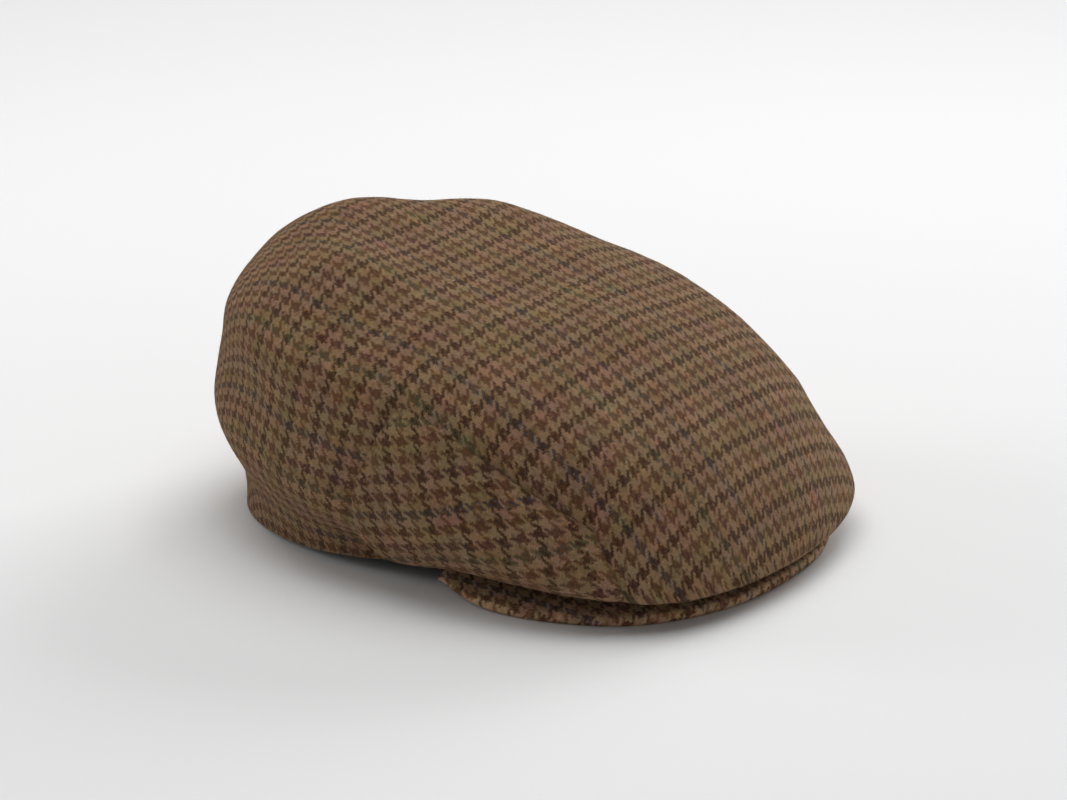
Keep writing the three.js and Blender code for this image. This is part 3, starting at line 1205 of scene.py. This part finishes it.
@dataclass(frozen=True)
class Crown:
    """The crown's main panel and its two side panels."""

    relief: Relief
    lay: ClothLay
    tweed: bpy.types.Material
    inside: bpy.types.Material
    thickness: float = 2.0
    front_columns: int = 40
    side_columns: int = 44
    back_columns: int = 70
    lower_rows: int = 64
    upper_rows: int = 44
    lower_levels: Pair = (0, 1)
    upper_levels: Pair = (1, 2)
    seam_gap: float = 0.0006

    def patch(self, name: str, panel: Panel, hand: Hand, size: tuple[int, int], levels: Pair,
              tables: tuple[Array, Array], inset: float = 0.0) -> bpy.types.Object:
        """Shape one patch of the crown.

        Args:
            name: The patch's name.
            panel: The panel that it lies in.
            hand: The half that it is made for.
            size: Faces across and along.
            levels: Its lowest and highest level.
            tables: The cloth's lay across and along.
            inset: How far it keeps from the side seams, as a share.

        Returns:
            The patch.
        """
        patch, across, level = add_patch(name, *size)
        across = inset + (1 - 2 * inset) * across
        level = levels[0] + (levels[1] - levels[0] - inset) * level
        bearing, share = self.relief.form.place(panel, across, level)
        points = self.relief.cloth(bearing, share, hand)
        cloth = np.stack([ClothLay.read(table, bearing, share) for table in tables], -1)
        cloth[:, 0] *= -hand.value
        shape_patch(patch, points, cloth, hand is Hand.RIGHT)
        return patch

    def build_main(self) -> bpy.types.Object:
        """Build the main panel, over the front, the top and the back.

        Returns:
            The piece.
        """
        tables, back_tables = self.lay.main_table(), self.lay.back_table()
        panels = (
            (Panel.FRONT, self.front_columns, tables),
            (Panel.SIDE, self.side_columns, None),
            (Panel.BACK, self.back_columns, back_tables),
        )
        patches = []
        for hand in Hand:
            for panel, columns, lower in panels:
                name = f"{panel.value}_{hand.name.lower()}"
                size = (columns, self.upper_rows)
                patches.append(self.patch(f"{name}_upper", panel, hand, size, self.upper_levels, tables))
                if lower:
                    size = (columns, self.lower_rows)
                    patches.append(self.patch(f"{name}_lower", panel, hand, size, self.lower_levels, lower))
        return self.finish(sew("crown_cloth", patches))

    def build_side(self, hand: Hand) -> bpy.types.Object:
        """Build one side panel.

        Args:
            hand: Its half of the cap.

        Returns:
            The piece.
        """
        name = f"side_cloth_{hand.name.lower()}"
        size = (self.side_columns, self.lower_rows)
        tables = self.lay.side_table()
        return self.finish(self.patch(name, Panel.SIDE, hand, size, self.lower_levels, tables, self.seam_gap))

    def finish(self, sheet: bpy.types.Object) -> bpy.types.Object:
        """Dress a sheet and give it its wall.

        Args:
            sheet: The sheet.

        Returns:
            The finished piece.
        """
        sheet.data.materials.append(self.tweed)
        sheet.data.materials.append(self.inside)
        thicken(sheet, self.thickness)
        return sheet


@dataclass(frozen=True)
class PeakRow:
    """The peak's outer edge at one bearing, in mm."""

    bearing: float
    reach: float
    lift: float


@dataclass(frozen=True)
class Peak:
    """The stiff peak under the crown's front, covered in the same tweed."""

    form: CrownForm
    tweed: bpy.types.Material
    rows: tuple[PeakRow, ...] = (
        PeakRow(0, 138, 0),
        PeakRow(16, 138, 0),
        PeakRow(32, 133, 0),
        PeakRow(48, 117.5, 0),
        PeakRow(58, 106, 1),
        PeakRow(66, 93, 3),
        PeakRow(70, 87, 3.6),
    )
    thickness: float = 4.4
    thinning: float = 0.55
    thin_bearings: Pair = (50.0, 69.0)
    rim_overlap: float = 2.0
    gap: float = 0.3
    edge_turn: Pair = (0.4, 0.6)
    columns: int = 140
    around: int = 60

    def section(self, bearing: Array, turn: Array) -> tuple[Array, Array]:
        """One way round the peak's section, from its inner edge over the top and back under it.

        Args:
            bearing: Signed bearings from the front.
            turn: Shares of the way round.

        Returns:
            Reach and height, and the length gone along the section.
        """
        keys = np.array([row.bearing for row in self.rows], float)
        table = np.array([(row.reach, row.lift) for row in self.rows], float)
        edge = hermite(table, inner_slopes(table, keys), keys, np.abs(bearing))
        rim = self.form.profile(np.abs(bearing))[:, 0]
        radius = self.thickness / 2 * (1 - self.thinning * ease(np.abs(bearing), *self.thin_bearings))
        inner = np.stack([rim[:, 0] - self.rim_overlap, rim[:, 1] - self.gap - radius], -1)
        outer = np.stack([edge[:, 0] - radius, np.maximum(0, edge[:, 1]) + radius], -1)
        width = np.linalg.norm(outer - inner, axis=1)
        top_end, edge_end = self.edge_turn
        on_top = turn < (top_end + edge_end) / 2
        flat = np.clip(np.where(on_top, turn / top_end, (1 - turn) / (1 - edge_end)), 0, 1)
        middle = inner + (outer - inner) * flat[:, None]
        bent = math.pi * np.clip((turn - top_end) / (edge_end - top_end), 0, 1)
        offset = np.stack([np.sin(bent), np.cos(bent)], -1) * radius[:, None]
        length = np.where(on_top, flat, 2 - flat) * width
        return middle + offset, length + radius * bent

    def build(self) -> bpy.types.Object:
        """Build the peak.

        Returns:
            The piece.
        """
        peak, across, turn = add_patch("peak_cloth", self.columns, self.around)
        bearing = (2 * across - 1) * self.rows[-1].bearing
        section, length = self.section(bearing, turn)
        angle = np.radians(bearing)
        outward = np.stack([-np.sin(angle), -np.cos(angle)], -1)
        points = np.concatenate([outward * section[:, :1], section[:, 1:]], 1)
        points[:, 2] = np.maximum(points[:, 2], 0)
        points[:, 1] += CROWN_AXIS_Y
        start = self.form.profile(np.abs(bearing))[:, 0, :1]
        flat = outward * (start + length[:, None])
        shape_patch(peak, points * MM, np.stack([flat[:, 0], -flat[:, 1]], -1), True)
        peak = sew("peak_cloth", [peak])
        bpy.ops.object.mode_set(mode="EDIT")
        bpy.ops.mesh.select_all(action="DESELECT")
        bpy.ops.mesh.select_non_manifold()
        bpy.ops.mesh.fill_holes(sides=0)
        bpy.ops.mesh.select_all(action="SELECT")
        bpy.ops.mesh.normals_make_consistent(inside=False)
        bpy.ops.object.mode_set(mode="OBJECT")
        peak.data.materials.append(self.tweed)
        bpy.ops.object.shade_smooth_by_angle(angle=SMOOTH_ANGLE)
        return peak


@dataclass(frozen=True)
class WoolFuzz:
    """Short wool hairs that stand off the tweed, in mm. Each is a narrow strip that bends to its tip."""

    hair: bpy.types.Material
    name: str = "wool_fuzz"
    count: int = 36000
    shortest: float = 0.5
    longest: float = 1.7
    width: float = 0.05
    sunk: float = 0.15
    least_lift: float = 0.35
    lift_spread: float = 0.5
    bend_share: float = 0.55
    bend_lie: float = 0.6
    bend_width: float = 0.8
    tip_share: float = 0.45
    tip_lie: float = 0.9
    strip: tuple[int, ...] = (0, 1, 3, 2)
    tip: tuple[int, ...] = (2, 3, 4)
    seed: int = 7

    def roots(self, pieces: list[bpy.types.Object], rng: np.random.Generator) -> tuple[Array, Array, Array]:
        """Scatter the hairs' roots over the outer faces of the pieces.

        Args:
            pieces: The pieces of tweed.
            rng: The seeded source of chance.

        Returns:
            The roots in metres, the faces' normals and the roots' places on the flat cloth.
        """
        corners, normals, flats, areas = [], [], [], []
        for piece in pieces:
            mesh = piece.data
            mesh.calc_loop_triangles()
            faces = mesh.loop_triangles
            outer = read_values(faces, "material_index", 1, np.int32)[:, 0] == 0
            spots = read_values(mesh.vertices, "co", 3)
            flat = read_values(mesh.uv_layers[CLOTH_UV].uv, "vector", 2)
            corners.append(spots[read_values(faces, "vertices", 3, np.int32)][outer])
            normals.append(read_values(faces, "normal", 3)[outer])
            flats.append(flat[read_values(faces, "loops", 3, np.int32)][outer])
            areas.append(read_values(faces, "area", 1)[outer, 0])
        area = np.concatenate(areas).astype(float)
        chosen = rng.choice(len(area), self.count, p=area / area.sum())
        weight = rng.dirichlet((1.0, 1.0, 1.0), self.count)[..., None]
        root = (np.concatenate(corners)[chosen] * weight).sum(1)
        return root, np.concatenate(normals)[chosen], (np.concatenate(flats)[chosen] * weight).sum(1)

    def shape(self, root: Array, normal: Array, rng: np.random.Generator) -> Array:
        """Bend each hair from its root over to its tip.

        Args:
            root: The roots, in metres.
            normal: The cloth's normals there.
            rng: The seeded source of chance.

        Returns:
            The points of each hair, in metres.
        """
        lie = np.cross(normal, rng.normal(size=normal.shape))
        lie /= np.linalg.norm(lie, axis=1, keepdims=True)
        breadth = np.cross(normal, lie) * (self.width / 2 * MM)
        longer = rng.random((self.count, 1)) ** 2
        length = (self.shortest + (self.longest - self.shortest) * longer) * MM
        lift = self.least_lift + self.lift_spread * rng.random((self.count, 1))
        bend = root + length * self.bend_share * (normal * lift + lie * self.bend_lie)
        droop = lift * rng.random((self.count, 1))
        tip = bend + length * self.tip_share * (normal * droop + lie * self.tip_lie)
        base = root - normal * (self.sunk * MM)
        narrow = breadth * self.bend_width
        spots = np.stack([base - breadth, base + breadth, bend - narrow, bend + narrow, tip], 1)
        spots[..., 2] = np.maximum(spots[..., 2], 0)
        return spots

    def build(self, pieces: list[bpy.types.Object]) -> bpy.types.Object:
        """Build all the hairs as one mesh.

        Args:
            pieces: The pieces of tweed that they stand on.

        Returns:
            The piece.
        """
        rng = np.random.default_rng(self.seed)
        root, normal, flat = self.roots(pieces, rng)
        spots = self.shape(root, normal, rng)
        hairs = np.arange(self.count)[:, None]
        corners = hairs * spots.shape[1] + (*self.strip, *self.tip)
        starts = hairs * corners.shape[1] + (0, len(self.strip))
        mesh = bpy.data.meshes.new(self.name)
        mesh.vertices.add(spots.shape[0] * spots.shape[1])
        mesh.vertices.foreach_set("co", spots.astype(np.float32).ravel())
        mesh.loops.add(corners.size)
        mesh.loops.foreach_set("vertex_index", corners.astype(np.int32).ravel())
        mesh.polygons.add(starts.size)
        mesh.polygons.foreach_set("loop_start", starts.astype(np.int32).ravel())
        layer = mesh.uv_layers.new(name=CLOTH_UV)
        layer.uv.foreach_set("vector", np.repeat(flat, corners.shape[1], axis=0).astype(np.float32).ravel())
        mesh.update(calc_edges=True)
        mesh.validate()
        mesh.materials.append(self.hair)
        fuzz = bpy.data.objects.new(self.name, mesh)
        bpy.context.scene.collection.objects.link(fuzz)
        return fuzz


@dataclass(frozen=True)
class SoftLight:
    """A square area light that looks at the cap, with its power in watts and its size in metres."""

    name: str
    power: float
    size: float
    place: tuple[float, float, float]

    def build(self) -> None:
        """Hang the light."""
        data = bpy.data.lights.new(self.name, "AREA")
        data.energy = self.power
        data.size = self.size
        light = bpy.data.objects.new(self.name, data)
        light.location = self.place
        light.rotation_euler = Vector(self.place).to_track_quat("Z", "Y").to_euler()
        bpy.context.scene.collection.objects.link(light)


@dataclass(frozen=True)
class Studio:
    """A pale floor, soft light from above and the photograph's point of view."""

    target: tuple[float, float, float] = (0.0042, -0.0040, 0.04935)
    azimuth: float = -55.9
    elevation: float = 19.5
    distance: float = 1.449
    lens: float = 122.04
    sensor: float = 36.0
    floor_size: float = 3.0
    floor_fade: Pair = (0.4, 1.3)
    floor_colour: Colour = (0.83, 0.83, 0.83, 1.0)
    wall_colour: Colour = (1.0, 1.0, 1.0, 1.0)
    room_light: float = 0.175
    room_shown: float = 0.79
    lights: tuple[SoftLight, ...] = (
        SoftLight("key", 42.0, 2.4, (0.2, 0.2, 2.4)),
        SoftLight("rear", 9.5, 0.8, (-0.65, 1.6, 0.48)),
        SoftLight("front", 1.5, 0.6, (-0.3, -1.6, 0.45)),
        SoftLight("right", 44.0, 1.6, (2.4, 0.0, 1.1)),
    )

    def build(self) -> None:
        """Add the camera, the floor, the lights and the wall."""
        self.add_camera()
        self.add_floor()
        for light in self.lights:
            light.build()
        self.add_room()

    def add_camera(self) -> None:
        """Stand the camera where the photograph was taken from."""
        turn, tilt = math.radians(self.azimuth), math.radians(self.elevation)
        back = Vector((math.sin(turn) * math.cos(tilt), -math.cos(turn) * math.cos(tilt), math.sin(tilt)))
        data = bpy.data.cameras.new("viewpoint")
        data.sensor_fit = "HORIZONTAL"
        data.sensor_width = self.sensor
        data.lens = self.lens
        camera = bpy.data.objects.new("viewpoint", data)
        camera.location = Vector(self.target) + back * self.distance
        camera.rotation_euler = back.to_track_quat("Z", "Y").to_euler()
        bpy.context.scene.collection.objects.link(camera)
        bpy.context.scene.camera = camera

    def add_floor(self) -> None:
        """Lay the pale floor, which fades into the wall."""
        bpy.ops.object.select_all(action="DESELECT")
        bpy.ops.mesh.primitive_plane_add(size=self.floor_size)
        floor = bpy.context.active_object
        floor.name = "floor"
        material, sheet = new_material("pale_floor")
        place = sheet.add("ShaderNodeTexCoord").outputs["Object"]
        away = sheet.add("ShaderNodeVectorMath", {0: place}, operation="LENGTH").outputs["Value"]
        sheet.cover({
            "Base Color": self.floor_colour,
            "Roughness": 1.0,
            "Specular IOR Level": 0.0,
            "Alpha": sheet.soft_range(away, self.floor_fade, (1.0, 0.0)),
        })
        floor.data.materials.append(material)

    def add_room(self) -> None:
        """Close the studio with a pale wall that gives off less light than it shows."""
        world = bpy.data.worlds.new("soft_room")
        world.use_nodes = True
        sheet = NodeSheet(world.node_tree)
        walls = [
            sheet.add("ShaderNodeBackground", {"Color": self.wall_colour, "Strength": strength}).outputs[0]
            for strength in (self.room_light, self.room_shown)
        ]
        seen = sheet.add("ShaderNodeLightPath").outputs["Is Camera Ray"]
        mixed = sheet.add("ShaderNodeMixShader", dict(enumerate((seen, *walls))))
        sheet.add("ShaderNodeOutputWorld", {"Surface": mixed.outputs[0]})
        bpy.context.scene.world = world
        bpy.context.scene.view_settings.view_transform = "Standard"


def main() -> None:
    """Build the cap, piece by piece."""
    logging.basicConfig(level=logging.INFO, format="%(message)s")
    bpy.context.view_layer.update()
    form = CrownForm()
    weave = TweedWeave().build()
    tweed = TweedFinish("check_tweed").build(weave)
    # The peak lies in the shadow of the crown's lip, so its tweed's colour is raised: painted light that
    # makes up for the lip's shade.
    painted_light_tone = (2.0, 2.1, 2.25, 1.0)
    peak_tweed_painted_light = TweedFinish("check_tweed_peak_painted_light", tone=painted_light_tone).build(weave)
    crown = Crown(Relief(form), ClothLay(form), tweed, InnerFinish().build())
    main_panel = crown.build_main()
    settle(main_panel, "tweed", "crown")
    side_right, side_left = crown.build_side(Hand.RIGHT), crown.build_side(Hand.LEFT)
    settle(side_right, "tweed", "side_panel_right")
    settle(side_left, "tweed", "side_panel_left")
    peak = Peak(form, peak_tweed_painted_light).build()
    settle(peak, "tweed_peak", "peak")
    fuzz = WoolFuzz(HairFinish().build(weave)).build([main_panel, side_right, side_left, peak])
    settle(fuzz, "tweed")
    Studio().build()


if __name__ == "__main__":
    main()
